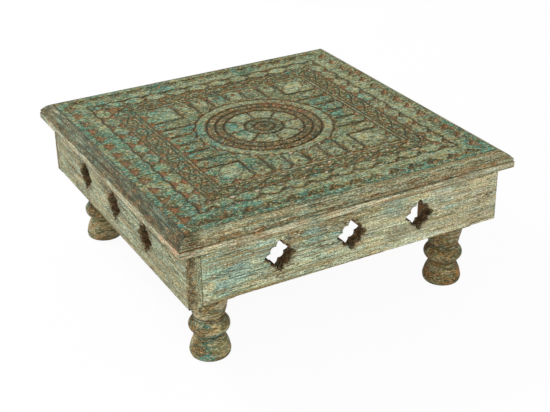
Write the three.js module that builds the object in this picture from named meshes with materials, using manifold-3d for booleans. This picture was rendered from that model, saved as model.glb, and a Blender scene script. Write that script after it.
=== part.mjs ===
// A bajot: a low square table with a carved top panel held in a mitred moulded
// rim, four pierced aprons that meet in a pinwheel at the corners, and four
// turned legs whose square heads stand inside those corners.
// Millimetres, +Z up. The origin is on the floor under the middle of the top,
// and the front apron faces -Y.

import * as THREE from "three";
import { mergeVertices } from "three/addons/utils/BufferGeometryUtils.js";
import Module from "manifold-3d";

const wasm = await Module();
wasm.setup();

// Overall sizes

const topSide = 450;
const tableHeight = 190;
const slabThickness = 22;
const topOverhang = 13;
const apronHeight = 73;
const apronThickness = 18;

// Clearances

const fitGap = 0.3;
const dowelEndGap = 0.5;
const cutOverrun = 1;

// Rim moulding, measured up from the underside and in from the outer edge

const rimWidth = 15;
const rimBandHeight = 8.6;
const rimQuirkHeight = 1.2;
const rimQuirkDepth = 1.6;
const rimFilletHeight = 2.6;
const rimFilletSetback = 0.8;
const rimCrown = 1.1;
const tongueThickness = 6;
const tongueLength = 5;
const tongueHeight = 7;

// Apron piercings: an eight-lobed star, long lobes along and across the board
// and short ones between. The outermost stands its margin clear of the leg head.

const piercingReach = 20.2;
const piercingMargin = 25.9;
const piercingsEachSide = 1;
const piercingLobes = 8;
const shortLobeShare = 0.782;
const notchShare = 0.663;
const longLobeSwellShare = 0.035;
const shortLobeSwellShare = 0.025;

// Legs, turned from square stock that stays square at the head. The turned
// outline has its heights as shares of the length below the head, and its
// radii as shares of the turned radius.

const legStock = 52;
const legTurnedRadius = 25;
const legHeadDrop = 14;
const soleRoundHeightShare = 0.087;
const shoulderHeightShare = 0.235;
const waistHeightShare = 0.355;
const beadTopHeightShare = 0.622;
const collarFootHeightShare = 0.634;
const collarTopHeightShare = 0.662;
const soleRadiusShare = 0.9;
const shoulderRadiusShare = 0.91;
const waistRadiusShare = 0.65;
const beadTopRadiusShare = 0.744;
const collarRadiusShare = 0.79;
const neckFootRadiusShare = 0.766;
const neckTopRadiusShare = 0.99;

// Blind dowels that pin the aprons to the leg heads and the heads to the panel.
// The cover is the wood left beyond a hole's end. The two boards at a corner
// have their dowels at staggered heights, so that none meet inside the leg.

const dowelRadius = 4;
const apronDowelCover = 6;
const panelDowelCover = 10;
const apronDowelLegReach = 18;
const headDowelLegReach = 14;
const dowelEdgeDistance = 20;
const dowelStagger = 11;

// Battens under the panel and the screws that hold them

const battenWidth = 42;
const battenThickness = 18;
const battenHeadDistance = 36;
const screwHeadRadius = 4;
const screwHeadHeight = 2.4;
const screwShankRadius = 1.9;
const screwBite = 12;
const screwTipLength = 5;
const screwSlotWidth = 1;
const screwSlotDepth = 1;
const screwEndDistance = 70;

// Carving: ring grooves and petals of the medallion, which leaves the spandrel
// width between itself and the inner square

const spandrelWidth = 57;
const bossShare = 0.182;
const eyeShare = 0.338;
const petalShare = 0.696;
const ringShare = 0.845;
const haloWidth = 13;
const ringGrooveWidth = 4;
const ringGrooveDepth = 2.2;
const petalGrooveWidth = 2.8;
const petalGrooveDepth = 1.8;
const petalChipWidth = 12;
const petalChipReach = 8;
const petalCount = 8;
const haloChipCount = 24;
const haloChipWidth = 13;
const haloChipReach = 7;
const haloChipGap = 0.6;

// Carving: the inner square with its raised line, its row of chips and its cells

const raisedLineWidth = 4;
const innerChipPitch = 25.6;
const innerChipWidth = 18;
const innerChipReach = 9;
const cellGrooveWidth = 2.8;
const cellGrooveDepth = 1.8;

// Carving: the border bands, measured in from the panel's edge. The garland band
// holds two zigzags that cross, with the pitch of the diamonds beside it.

const outerMargin = 8.7;
const outerChipPitch = 27.6;
const outerChipWidth = 26.5;
const outerChipReach = 13.5;
const plainBandWidth = 12.3;
const diamondBandWidth = 20;
const garlandBandWidth = 24.2;
const garlandSwing = 6.6;
const garlandGrooveWidth = 2.6;
const garlandGrooveDepth = 1.3;
const diamondPitch = 31.5;
const diamondChipWidth = 21;
const diamondChipShare = 0.46;
const lineGrooveWidth = 2;
const lineGrooveDepth = 1.3;
const chipDepth = 2.8;

// Facets

const legFacets = 20;
const ringFacets = 48;
const dowelFacets = 10;
const screwFacets = 10;
const curveSteps = 4;
const rimSteps = 6;
const starSteps = 2;

// Places that follow from the sizes above

const topHalf = topSide / 2;
const slabBottom = tableHeight - slabThickness;
const panelHalf = topHalf - rimWidth - fitGap;
const apronTop = slabBottom - fitGap;
const apronBottom = apronTop - apronHeight;
const apronFace = topHalf - topOverhang;
const apronBack = apronFace - apronThickness;
const headBottom = apronBottom - legHeadDrop;
const headTop = slabBottom - fitGap;
const legAxis = apronBack - fitGap - legStock / 2;
const headInside = legAxis - legStock / 2;
const apronDowelReach = apronThickness - apronDowelCover;
const panelDowelReach = slabThickness - panelDowelCover;
const apronDowelLength = apronDowelReach + fitGap + apronDowelLegReach;
const headDowelLength = panelDowelReach + fitGap + headDowelLegReach;
const lowDowelHeight = apronBottom + dowelEdgeDistance;
const highDowelHeight = apronTop - dowelEdgeDistance;
const nearDowelHeights = { low: lowDowelHeight, high: highDowelHeight - dowelStagger };
const farDowelHeights = { low: lowDowelHeight + dowelStagger, high: highDowelHeight };
const apronDowels = {
  near: { x: -legAxis, heights: nearDowelHeights },
  far: { x: legAxis, heights: farDowelHeights },
};
const battenHalf = apronBack - fitGap;
const battenOffset = headInside - battenHeadDistance - battenWidth / 2;
const battenBottom = slabBottom - fitGap - battenThickness;
const screwLength = battenThickness + fitGap + screwBite;
const screwReach = battenHalf - screwEndDistance;
const screwPlaces = { front: -screwReach, middle: 0, rear: screwReach };
const piercingPitch = (headInside - piercingMargin - piercingReach) / piercingsEachSide;
const outerChipBase = panelHalf - outerMargin;
const outerChipTip = outerChipBase - outerChipReach;
const diamondBandOuter = outerChipTip - plainBandWidth;
const diamondBandInner = diamondBandOuter - diamondBandWidth;
const innerSquareHalf = diamondBandInner - garlandBandWidth;
const garlandMiddle = (diamondBandInner + innerSquareHalf) / 2;
const garlandRunsEachSide = Math.floor(garlandMiddle / diamondPitch);
const innerChipBase = innerSquareHalf - lineGrooveWidth / 2 - raisedLineWidth;
const innerChipTip = innerChipBase - innerChipReach;
const medallionRadius = innerSquareHalf - spandrelWidth;
const eyeRadius = medallionRadius * eyeShare;
const petalRadius = medallionRadius * petalShare;
const haloRadius = medallionRadius + haloWidth;
const haloReach = haloRadius + haloChipReach;
const cellGroovesEachSide = Math.floor(haloReach / innerChipPitch);

// Colours

const paintedPanel = new THREE.MeshStandardMaterial({ color: 0x8f8d6c, roughness: 0.82, metalness: 0 });
const paintedRim = new THREE.MeshStandardMaterial({ color: 0x979275, roughness: 0.8, metalness: 0 });
const paintedApron = new THREE.MeshStandardMaterial({ color: 0x9aa085, roughness: 0.8, metalness: 0 });
const paintedLeg = new THREE.MeshStandardMaterial({ color: 0x857a55, roughness: 0.78, metalness: 0 });
const bareWood = new THREE.MeshStandardMaterial({ color: 0x8b6b49, roughness: 0.85, metalness: 0 });
const dowelWood = new THREE.MeshStandardMaterial({ color: 0xc7a478, roughness: 0.8, metalness: 0 });
const screwSteel = new THREE.MeshStandardMaterial({ color: 0x8d8b86, roughness: 0.45, metalness: 1 });

// Solids from geometries and back

function solidOf(geometry) {
  const bare = geometry.clone();
  bare.deleteAttribute("normal");
  bare.deleteAttribute("uv");
  const merged = mergeVertices(bare);
  const index = merged.index.array;
  const kept = [];
  for (let i = 0; i < index.length; i += 3) {
    const [a, b, c] = index.slice(i, i + 3);
    if (a !== b && b !== c && c !== a) {
      kept.push(a, b, c);
    }
  }
  const mesh = new wasm.Mesh({
    numProp: 3,
    vertProperties: new Float32Array(merged.attributes.position.array),
    triVerts: new Uint32Array(kept),
  });
  return new wasm.Manifold(mesh);
}

function geometryOf(solid) {
  const mesh = solid.getMesh();
  const geometry = new THREE.BufferGeometry();
  geometry.setAttribute("position", new THREE.BufferAttribute(mesh.vertProperties, 3));
  geometry.setIndex(new THREE.BufferAttribute(mesh.triVerts, 1));
  geometry.computeVertexNormals();
  return geometry;
}

// The union of many solids, joined in pairs
function joined(solids) {
  if (solids.length === 1) {
    return solids[0];
  }
  const middle = Math.floor(solids.length / 2);
  return joined(solids.slice(0, middle)).add(joined(solids.slice(middle)));
}

function boxBetween(low, high) {
  const geometry = new THREE.BoxGeometry(high[0] - low[0], high[1] - low[1], high[2] - low[2]);
  geometry.translate((low[0] + high[0]) / 2, (low[1] + high[1]) / 2, (low[2] + high[2]) / 2);
  return geometry;
}

// A turned geometry about a vertical axis from (radius, height) points going up
function turned(points, facets) {
  const geometry = new THREE.LatheGeometry(points, facets);
  geometry.rotateX(Math.PI / 2);
  return geometry;
}

function curvePoints(curve, steps) {
  return curve.getPoints(steps).slice(1);
}

const parts = new THREE.Group();

function place(name, geometry, material, parent) {
  const mesh = new THREE.Mesh(geometry, material);
  mesh.name = name;
  parent.add(mesh);
  return mesh;
}

// Four groups, each a quarter turn on from the last: front, right, rear, left
const sideNames = ["front", "right", "rear", "left"];
const cornerNames = ["front_left", "front_right", "rear_right", "rear_left"];
const quarters = sideNames.map((_, i) => {
  const group = new THREE.Group();
  group.rotation.z = (i * Math.PI) / 2;
  parts.add(group);
  return group;
});

// Leg: a lathe profile from the sole to the neck, joined to its square head

function legProfile() {
  const at = (radiusShare, heightShare) =>
    new THREE.Vector2(radiusShare * legTurnedRadius, heightShare * headBottom);
  const sole = at(soleRadiusShare, 0);
  const footSwell = at(1, soleRoundHeightShare);
  const shoulder = at(shoulderRadiusShare, shoulderHeightShare);
  const waist = at(waistRadiusShare, waistHeightShare);
  const beadTop = at(beadTopRadiusShare, beadTopHeightShare);
  const footRound = new THREE.EllipseCurve(
    sole.x, footSwell.y, footSwell.x - sole.x, footSwell.y, -Math.PI / 2, 0);
  const footShoulder = new THREE.QuadraticBezierCurve(footSwell, shoulder, waist);
  const beadControl = new THREE.Vector2(
    2 * legTurnedRadius - (waist.x + beadTop.x) / 2, (waist.y + beadTop.y) / 2);
  const bead = new THREE.QuadraticBezierCurve(waist, beadControl, beadTop);
  const neckTop = at(neckTopRadiusShare, 1);
  return [
    new THREE.Vector2(0, 0),
    sole,
    ...curvePoints(footRound, curveSteps),
    ...curvePoints(footShoulder, curveSteps),
    ...curvePoints(bead, 2 * curveSteps),
    at(collarRadiusShare, collarFootHeightShare),
    at(collarRadiusShare, collarTopHeightShare),
    at(neckFootRadiusShare, collarTopHeightShare),
    neckTop,
    new THREE.Vector2(neckTop.x, headBottom + cutOverrun),
    new THREE.Vector2(0, headBottom + cutOverrun),
  ];
}

// A dowel hole along Y: from the face at zero it goes depthIn towards +Y and
// depthOut the other way
function dowelCutter(depthIn, depthOut) {
  const geometry = new THREE.CylinderGeometry(
    dowelRadius + fitGap, dowelRadius + fitGap, depthIn + depthOut, dowelFacets);
  geometry.translate(0, (depthIn - depthOut) / 2, 0);
  return geometry;
}

function makeLegGeometry() {
  const half = legStock / 2;
  const reach = apronDowelLegReach + dowelEndGap;
  let leg = solidOf(turned(legProfile(), legFacets));
  leg = leg.add(solidOf(boxBetween([-half, -half, headBottom], [half, half, headTop])));
  for (const height of Object.values(nearDowelHeights)) {
    const hole = dowelCutter(reach, cutOverrun);
    hole.translate(0, -half, height);
    leg = leg.subtract(solidOf(hole));
  }
  for (const height of Object.values(farDowelHeights)) {
    const hole = dowelCutter(reach, cutOverrun);
    hole.rotateZ(-Math.PI / 2);
    hole.translate(-half, 0, height);
    leg = leg.subtract(solidOf(hole));
  }
  const top = dowelCutter(headDowelLegReach + dowelEndGap, cutOverrun);
  top.rotateX(-Math.PI / 2);
  top.translate(0, 0, headTop);
  return geometryOf(leg.subtract(solidOf(top)));
}

// Apron: a board with three piercings and blind dowel holes in its back

function starOutline() {
  const star = new THREE.Path();
  const point = (radius, lobe) => {
    const angle = (lobe * 2 * Math.PI) / piercingLobes;
    return new THREE.Vector2(radius * Math.cos(angle), radius * Math.sin(angle));
  };
  const swell = (a, b, share) => {
    const middle = a.clone().add(b).divideScalar(2);
    return middle.add(middle.clone().setLength(2 * piercingReach * share));
  };
  const longLobe = { reach: piercingReach, swellShare: longLobeSwellShare };
  const shortLobe = { reach: piercingReach * shortLobeShare, swellShare: shortLobeSwellShare };
  let from = point(longLobe.reach, 0);
  star.moveTo(from.x, from.y);
  for (let i = 0; i < piercingLobes; i += 1) {
    const [here, next] = i % 2 === 0 ? [longLobe, shortLobe] : [shortLobe, longLobe];
    const notch = point(piercingReach * notchShare, i + 1 / 2);
    const to = point(next.reach, i + 1);
    const down = swell(from, notch, here.swellShare);
    const up = swell(notch, to, next.swellShare);
    star.quadraticCurveTo(down.x, down.y, notch.x, notch.y);
    star.quadraticCurveTo(up.x, up.y, to.x, to.y);
    from = to;
  }
  return star;
}

function makeApronGeometry() {
  const left = -apronBack + fitGap;
  const right = apronFace;
  const middle = (apronTop + apronBottom) / 2;
  const board = new THREE.Shape();
  board.moveTo(left, apronBottom);
  board.lineTo(right, apronBottom);
  board.lineTo(right, apronTop);
  board.lineTo(left, apronTop);
  board.closePath();
  const starPoints = starOutline().getPoints(starSteps);
  for (let i = -piercingsEachSide; i <= piercingsEachSide; i += 1) {
    const moved = starPoints.map((p) => new THREE.Vector2(p.x + i * piercingPitch, p.y + middle));
    board.holes.push(new THREE.Path(moved));
  }
  const geometry = new THREE.ExtrudeGeometry(board, {
    depth: apronThickness, bevelEnabled: false, curveSegments: starSteps });
  geometry.rotateX(Math.PI / 2);
  geometry.translate(0, -apronBack, 0);
  let apron = solidOf(geometry);
  for (const end of Object.values(apronDowels)) {
    for (const height of Object.values(end.heights)) {
      const hole = dowelCutter(cutOverrun, apronDowelReach + dowelEndGap);
      hole.translate(end.x, -apronBack, height);
      apron = apron.subtract(solidOf(hole));
    }
  }
  return geometryOf(apron);
}

// Rim: one moulding along the front, mitred where it meets its neighbours

function makeRimGeometry() {
  const outer = rimWidth;
  const quirkTop = rimBandHeight + rimQuirkHeight;
  const filletTop = quirkTop + rimFilletHeight;
  const filletFace = outer - rimFilletSetback;
  const slope = new THREE.Vector2(-filletFace, slabThickness - filletTop);
  const crown = new THREE.Vector2(slope.y, -slope.x).setLength(2 * rimCrown);
  const control = new THREE.Vector2(filletFace / 2, (filletTop + slabThickness) / 2).add(crown);
  const grooveBottom = tongueHeight - fitGap;
  const grooveTop = tongueHeight + tongueThickness + fitGap;
  const section = new THREE.Shape();
  section.moveTo(0, 0);
  section.lineTo(outer, 0);
  section.lineTo(outer, rimBandHeight);
  section.lineTo(outer - rimQuirkDepth, rimBandHeight);
  section.lineTo(outer - rimQuirkDepth, quirkTop);
  section.lineTo(filletFace, quirkTop);
  section.lineTo(filletFace, filletTop);
  section.quadraticCurveTo(control.x, control.y, 0, slabThickness);
  section.lineTo(0, grooveTop);
  section.lineTo(tongueLength, grooveTop);
  section.lineTo(tongueLength, grooveBottom);
  section.lineTo(0, grooveBottom);
  section.closePath();
  const moulding = new THREE.ExtrudeGeometry(section, {
    depth: topSide, bevelEnabled: false, curveSegments: rimSteps });
  const turn = new THREE.Matrix4().makeBasis(
    new THREE.Vector3(0, -1, 0), new THREE.Vector3(0, 0, 1), new THREE.Vector3(-1, 0, 0));
  moulding.applyMatrix4(turn);
  moulding.translate(topHalf, rimWidth - topHalf, slabBottom);
  const inset = fitGap / 2;
  const wedge = new THREE.Shape();
  const near = topHalf + cutOverrun;
  const far = topHalf - rimWidth - cutOverrun;
  wedge.moveTo(inset - near, -near);
  wedge.lineTo(near - inset, -near);
  wedge.lineTo(far - inset, -far);
  wedge.lineTo(inset - far, -far);
  wedge.closePath();
  const mitre = new THREE.ExtrudeGeometry(wedge, {
    depth: slabThickness + 2 * cutOverrun, bevelEnabled: false });
  mitre.translate(0, 0, slabBottom - cutOverrun);
  return geometryOf(solidOf(moulding).intersect(solidOf(mitre)));
}

// Cutters for the carving, each a little proud of the surface it cuts

function vCutter(length, width, depth) {
  const spread = (depth + cutOverrun) / depth;
  const section = new THREE.Shape();
  section.moveTo(0, -depth);
  section.lineTo((width / 2) * spread, cutOverrun);
  section.lineTo((-width / 2) * spread, cutOverrun);
  section.closePath();
  return new THREE.ExtrudeGeometry(section, { depth: length, bevelEnabled: false });
}

function groove(from, to, width, depth) {
  const run = to.clone().sub(from);
  const geometry = vCutter(run.length(), width, depth);
  const along = new THREE.Vector3(run.x, run.y, 0).normalize();
  const up = new THREE.Vector3(0, 0, 1);
  const across = new THREE.Vector3().crossVectors(up, along);
  geometry.applyMatrix4(new THREE.Matrix4().makeBasis(across, up, along));
  geometry.translate(from.x, from.y, tableHeight);
  return geometry;
}

function ringGroove(radius, width, depth) {
  const spread = (depth + cutOverrun) / depth;
  const inner = radius - (width / 2) * spread;
  const outer = radius + (width / 2) * spread;
  const geometry = turned([
    new THREE.Vector2(radius, -depth),
    new THREE.Vector2(outer, cutOverrun),
    new THREE.Vector2(inner, cutOverrun),
    new THREE.Vector2(radius, -depth),
  ], ringFacets);
  geometry.translate(0, 0, tableHeight);
  return geometry;
}

// A three-sided pyramid chip: its base edge at one end, its point at the other
function chip(base, towards, width, reach, depth) {
  const spread = (depth + cutOverrun) / depth;
  const geometry = new THREE.ConeGeometry(1, 1, 3);
  geometry.scale((width / Math.sqrt(3)) * spread, depth + cutOverrun, (reach * spread * 2) / 3);
  const forward = new THREE.Vector3(towards.x, towards.y, 0).normalize();
  const down = new THREE.Vector3(0, 0, -1);
  const across = new THREE.Vector3().crossVectors(down, forward);
  geometry.applyMatrix4(new THREE.Matrix4().makeBasis(across, down, forward));
  const middle = base.clone().addScaledVector(towards.clone().normalize(), reach / 3);
  geometry.translate(middle.x, middle.y, tableHeight + (cutOverrun - depth) / 2);
  return geometry;
}

// The front run of a thin square line round the panel
function lineGroove(half) {
  const reach = half + lineGrooveWidth / 2;
  const from = new THREE.Vector2(-reach, -half);
  const to = new THREE.Vector2(reach, -half);
  return groove(from, to, lineGrooveWidth, lineGrooveDepth);
}

// Places of a row of copies, centred, as many as the pitch fits in the length
function rowOf(halfLength, pitch) {
  const count = Math.round((2 * halfLength) / pitch);
  return Array.from({ length: count }, (_, i) => (i - (count - 1) / 2) * pitch);
}

// The chips and grooves of one side of the panel, drawn for the front
function sideCarving() {
  const cutters = [];
  const inward = new THREE.Vector2(0, 1);
  const outward = new THREE.Vector2(0, -1);
  for (const x of rowOf(outerChipTip, outerChipPitch)) {
    const base = new THREE.Vector2(x, -outerChipBase);
    cutters.push(chip(base, inward, outerChipWidth, outerChipReach, chipDepth));
  }
  const diamondReach = diamondBandWidth * diamondChipShare - lineGrooveWidth;
  const diamonds = rowOf(diamondBandInner, diamondPitch);
  for (const x of [...diamonds, diamonds[diamonds.length - 1] + diamondPitch]) {
    const between = x - diamondPitch / 2;
    const outerBase = new THREE.Vector2(between, -diamondBandOuter + lineGrooveWidth);
    const innerBase = new THREE.Vector2(between, -diamondBandInner - lineGrooveWidth);
    cutters.push(chip(outerBase, inward, diamondChipWidth, diamondReach, chipDepth));
    cutters.push(chip(innerBase, outward, diamondChipWidth, diamondReach, chipDepth));
  }
  for (const half of [diamondBandOuter, diamondBandInner, innerSquareHalf]) {
    cutters.push(lineGroove(half));
  }
  for (let i = -garlandRunsEachSide; i < garlandRunsEachSide; i += 1) {
    for (const way of [1, -1]) {
      const swing = (i % 2 === 0 ? way : -way) * garlandSwing;
      const from = new THREE.Vector2(i * diamondPitch, swing - garlandMiddle);
      const to = new THREE.Vector2((i + 1) * diamondPitch, -swing - garlandMiddle);
      cutters.push(groove(from, to, garlandGrooveWidth, garlandGrooveDepth));
    }
  }
  const chipsEachSide = Math.floor((innerChipTip - innerChipWidth / 2) / innerChipPitch);
  for (let i = -chipsEachSide; i <= chipsEachSide; i += 1) {
    const base = new THREE.Vector2(i * innerChipPitch, -innerChipBase);
    cutters.push(chip(base, inward, innerChipWidth, innerChipReach, chipDepth));
  }
  for (let i = -cellGroovesEachSide; i <= cellGroovesEachSide; i += 1) {
    const x = i * innerChipPitch;
    const atCorner = Math.abs(i) === cellGroovesEachSide;
    const inner = atCorner ? Math.abs(x) : Math.sqrt(haloReach * haloReach - x * x);
    const from = new THREE.Vector2(x, -innerChipTip);
    const to = new THREE.Vector2(x, -inner);
    cutters.push(groove(from, to, cellGrooveWidth, cellGrooveDepth));
  }
  return cutters;
}

function medallionCarving() {
  const cutters = [];
  for (const share of [bossShare, eyeShare, petalShare, ringShare, 1]) {
    cutters.push(ringGroove(medallionRadius * share, ringGrooveWidth, ringGrooveDepth));
  }
  cutters.push(ringGroove(haloRadius - ringGrooveWidth / 2, lineGrooveWidth, lineGrooveDepth));
  for (let i = 0; i < petalCount; i += 1) {
    const angle = (i * 2 * Math.PI) / petalCount;
    const ray = new THREE.Vector2(Math.cos(angle), Math.sin(angle));
    const from = ray.clone().multiplyScalar(eyeRadius);
    const to = ray.clone().multiplyScalar(petalRadius);
    cutters.push(groove(from, to, petalGrooveWidth, petalGrooveDepth));
    const base = ray.clone().multiplyScalar(petalRadius - ringGrooveWidth / 2);
    cutters.push(chip(base, ray.clone().negate(), petalChipWidth, petalChipReach, petalGrooveDepth));
  }
  for (let i = 0; i < haloChipCount; i += 1) {
    const angle = ((i + 1 / 2) * 2 * Math.PI) / haloChipCount;
    const ray = new THREE.Vector2(Math.cos(angle), Math.sin(angle));
    const base = ray.clone().multiplyScalar(haloRadius + haloChipGap);
    cutters.push(chip(base, ray, haloChipWidth, haloChipReach, chipDepth));
  }
  return cutters;
}

// Screws and the countersunk holes they pass through

function screwProfile(gap) {
  const tipStart = screwLength - screwTipLength + gap;
  return [
    new THREE.Vector2(0, 0),
    new THREE.Vector2(screwHeadRadius + gap, 0),
    new THREE.Vector2(screwShankRadius + gap, screwHeadHeight),
    new THREE.Vector2(screwShankRadius + gap, tipStart),
    new THREE.Vector2(0, screwLength + gap),
  ];
}

function makeScrewGeometry() {
  const screw = solidOf(turned(screwProfile(0), screwFacets));
  const reach = screwHeadRadius + cutOverrun;
  const half = screwSlotWidth / 2;
  const slot = boxBetween([-reach, -half, -cutOverrun], [reach, half, screwSlotDepth]);
  return geometryOf(screw.subtract(solidOf(slot)));
}

function screwHoleAt(x, y) {
  const hole = turned(screwProfile(fitGap), screwFacets);
  hole.translate(x, y, battenBottom);
  return solidOf(hole);
}

// Panel: a slab with a tongue round it, carved on top and drilled underneath

function makePanelGeometry() {
  const edge = panelHalf;
  const tongue = panelHalf + tongueLength;
  const tongueBottom = slabBottom + tongueHeight;
  const tongueTop = tongueBottom + tongueThickness;
  const slab = boxBetween([-edge, -edge, slabBottom], [edge, edge, tableHeight]);
  const tongues = boxBetween([-tongue, -tongue, tongueBottom], [tongue, tongue, tongueTop]);
  let panel = solidOf(slab).add(solidOf(tongues));
  const cutters = medallionCarving();
  for (let i = 0; i < sideNames.length; i += 1) {
    for (const cutter of sideCarving()) {
      cutters.push(cutter.rotateZ((i * Math.PI) / 2));
    }
  }
  panel = panel.subtract(joined(cutters.map(solidOf)));
  for (const x of [-legAxis, legAxis]) {
    for (const y of [-legAxis, legAxis]) {
      const hole = dowelCutter(panelDowelReach + dowelEndGap, cutOverrun);
      hole.rotateX(Math.PI / 2);
      hole.translate(x, y, slabBottom);
      panel = panel.subtract(solidOf(hole));
    }
  }
  for (const x of [-battenOffset, battenOffset]) {
    for (const y of Object.values(screwPlaces)) {
      panel = panel.subtract(screwHoleAt(x, y));
    }
  }
  return geometryOf(panel);
}

// Assembly: panel, then each quarter turn's rim, apron, leg and dowels

function makeDowelGeometry(length) {
  return new THREE.CylinderGeometry(dowelRadius, dowelRadius, length, dowelFacets);
}

place("top_panel", makePanelGeometry(), paintedPanel, parts);

const rimGeometry = makeRimGeometry();
const apronGeometry = makeApronGeometry();
const legGeometry = makeLegGeometry();
const apronDowelGeometry = makeDowelGeometry(apronDowelLength);
const headDowelGeometry = makeDowelGeometry(headDowelLength).rotateX(Math.PI / 2);

quarters.forEach((quarter, i) => {
  place(`rim_${sideNames[i]}`, rimGeometry, paintedRim, quarter);
  place(`apron_${sideNames[i]}`, apronGeometry, paintedApron, quarter);
  const leg = place(`leg_${cornerNames[i]}`, legGeometry, paintedLeg, quarter);
  leg.position.set(-legAxis, -legAxis, 0);
  const headDowel = place(`head_dowel_${cornerNames[i]}`, headDowelGeometry, dowelWood, quarter);
  headDowel.position.set(-legAxis, -legAxis, slabBottom + panelDowelReach - headDowelLength / 2);
  for (const [endName, end] of Object.entries(apronDowels)) {
    for (const [levelName, height] of Object.entries(end.heights)) {
      const name = `apron_dowel_${sideNames[i]}_${endName}_${levelName}`;
      const dowel = place(name, apronDowelGeometry, dowelWood, quarter);
      dowel.position.set(end.x, apronDowelLength / 2 - apronBack - apronDowelReach, height);
    }
  }
});

// Battens across the underside, screwed up into the panel

const screwGeometry = makeScrewGeometry();

for (const [sideName, x] of Object.entries({ left: -battenOffset, right: battenOffset })) {
  const half = battenWidth / 2;
  const low = [x - half, -battenHalf, battenBottom];
  const high = [x + half, battenHalf, battenBottom + battenThickness];
  let batten = solidOf(boxBetween(low, high));
  for (const y of Object.values(screwPlaces)) {
    batten = batten.subtract(screwHoleAt(x, y));
  }
  place(`batten_${sideName}`, geometryOf(batten), bareWood, parts);
  for (const [placeName, y] of Object.entries(screwPlaces)) {
    const screw = place(`screw_${sideName}_${placeName}`, screwGeometry, screwSteel, parts);
    screw.position.set(x, y, battenBottom);
  }
}

export default parts;
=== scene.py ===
import math

import bpy
import numpy as np
from mathutils import Matrix, Vector


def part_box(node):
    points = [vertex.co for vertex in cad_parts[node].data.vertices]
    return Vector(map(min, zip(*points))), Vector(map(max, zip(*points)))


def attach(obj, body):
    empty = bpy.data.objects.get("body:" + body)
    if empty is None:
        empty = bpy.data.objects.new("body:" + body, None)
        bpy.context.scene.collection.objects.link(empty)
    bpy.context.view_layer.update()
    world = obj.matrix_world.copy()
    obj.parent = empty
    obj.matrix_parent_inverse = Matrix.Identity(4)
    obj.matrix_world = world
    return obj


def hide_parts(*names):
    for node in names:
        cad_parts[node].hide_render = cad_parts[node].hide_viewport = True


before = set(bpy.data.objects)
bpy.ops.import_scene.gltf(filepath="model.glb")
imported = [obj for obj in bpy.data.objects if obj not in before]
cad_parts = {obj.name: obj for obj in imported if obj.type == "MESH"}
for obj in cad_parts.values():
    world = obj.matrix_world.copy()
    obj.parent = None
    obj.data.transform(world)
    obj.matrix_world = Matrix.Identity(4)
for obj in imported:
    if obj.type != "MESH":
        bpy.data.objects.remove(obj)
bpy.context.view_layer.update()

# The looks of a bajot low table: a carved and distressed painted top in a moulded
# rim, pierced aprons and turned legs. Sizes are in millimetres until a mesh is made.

MM = 0.001
side_names = ("front", "right", "rear", "left")
corner_names = ("front_left", "front_right", "rear_right", "rear_left")
# the dirt mask carries painted shade in grooves, hollows and under the rim, as well as dirt
# the last mask is painted highlight on the top's chips, and pale bare or tan patches on the rims and aprons
mask_names = ("wear", "dirt", "brown", "teal", "pale", "bright")

# Carving of the top, measured from its middle. Grooves are (width, depth).

panel_grid_cells = 400
panel_tongue = 5.0
panel_sunk = 0.2
panel_edge_drop = 0.5
underside_share = 0.98
carving_warp = 0.55
carving_warp_cell = 38.0
carving_shake = 0.3
carving_shake_cell = 9.0
outer_chip = dict(width=26.8, reach=13.5, depth=2.8)
outer_chip_base = 201.0
outer_chip_pitch = 27.6
outer_chip_count = 14
plain_band_inner = 174.8
diamond_line_outer = 174.0
diamond_line_inner = 153.4
diamond_scallop = 1.2
diamond_pitch = 31.5
diamond_count = 10
diamond_chip = dict(width=23.0, reach=9.2, depth=2.4)
garland_middle = 142.6
garland_swing = 6.6
garland_line = (2.8, 1.3)
garland_chip = dict(width=13.0, reach=6.0, depth=1.8)
crossing_chip = dict(width=8.0, reach=6.5, depth=1.4)
crossing_shift = 3.0
fillet_outer = 131.2
fillet_inner = 126.2
inner_chip = dict(width=20.0, reach=8.8, depth=2.4)
inner_chip_base = 125.8
inner_chip_pitch = 25.6
inner_chips_each_side = 4
cell_line_outer = 117.0
cell_lines_each_side = 3
cell_chip = dict(width=9.0, reach=6.5, depth=1.7)
arch_half_width = 10.2
arch_rise = 24.0
leaf_half_width = 13.5
leaf_half_length = 25.0
halo_radius = 86.5
halo_chip = dict(width=15.0, reach=7.6, depth=2.2)
halo_chip_count = 24
halo_line_shift = 4.4
halo_scallop = 2.6
medallion_radius = 74.0
ring_middle_radius = 62.5
ring_teeth = (40, 52)
petal_radius = 51.5
petal_count = 8
petal_chip = dict(width=12.5, reach=8.5, depth=1.8)
eye_radius = 25.0
eye_spokes = 12
boss_radius = 13.5
boss_ring_radius = 4.2
boss_spokes = 6
line_groove = (2.8, 1.3)
ring_groove = (3.8, 2.1)
cell_groove = (3.6, 1.8)
arch_groove = (2.0, 0.8)
leaf_groove = (2.2, 0.8)
halo_groove = (2.4, 1.3)
petal_groove = (2.8, 1.7)
tooth_groove = (2.6, 1.0)
eye_groove = (1.9, 0.9)
boss_groove = (1.8, 1.0)
boss_ring_groove = (2.0, 1.2)
highlight_reach = 4.5

# Rim section: across is measured in from the outer face, up from the underside

rim_band_height = 8.6
rim_quirk_height = 1.2
rim_quirk_depth = 1.6
rim_fillet_height = 2.6
rim_fillet_setback = 0.8
rim_crown = 1.1
rim_edge_round = 1.1
rim_mitre_gap = 0.2
rim_arc_steps = 4
rim_slope_steps = 12
rim_stations = 180

# Apron boards and their star piercings

piercing_pitch = 95.6
star_places = tuple(k * piercing_pitch for k in (-1, 0, 1))
piercing_reach = 20.2
short_lobe_share = 0.782
notch_share = 0.663
long_swell = 0.7
short_swell = 0.5
board_round = 0.9
board_sunk = 0.25
cell_half_width = 30.0
cell_edge_margin = 4.5
cell_steps = 24
star_ring_shares = (0, 0.03, 0.075, 0.14, 0.24, 0.38, 0.58, 0.8)
board_edge_lines = (0, 0.9, 2.0, 3.4)
board_column = 3.2
board_arc_steps = 3
board_wall_steps = 5

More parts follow.
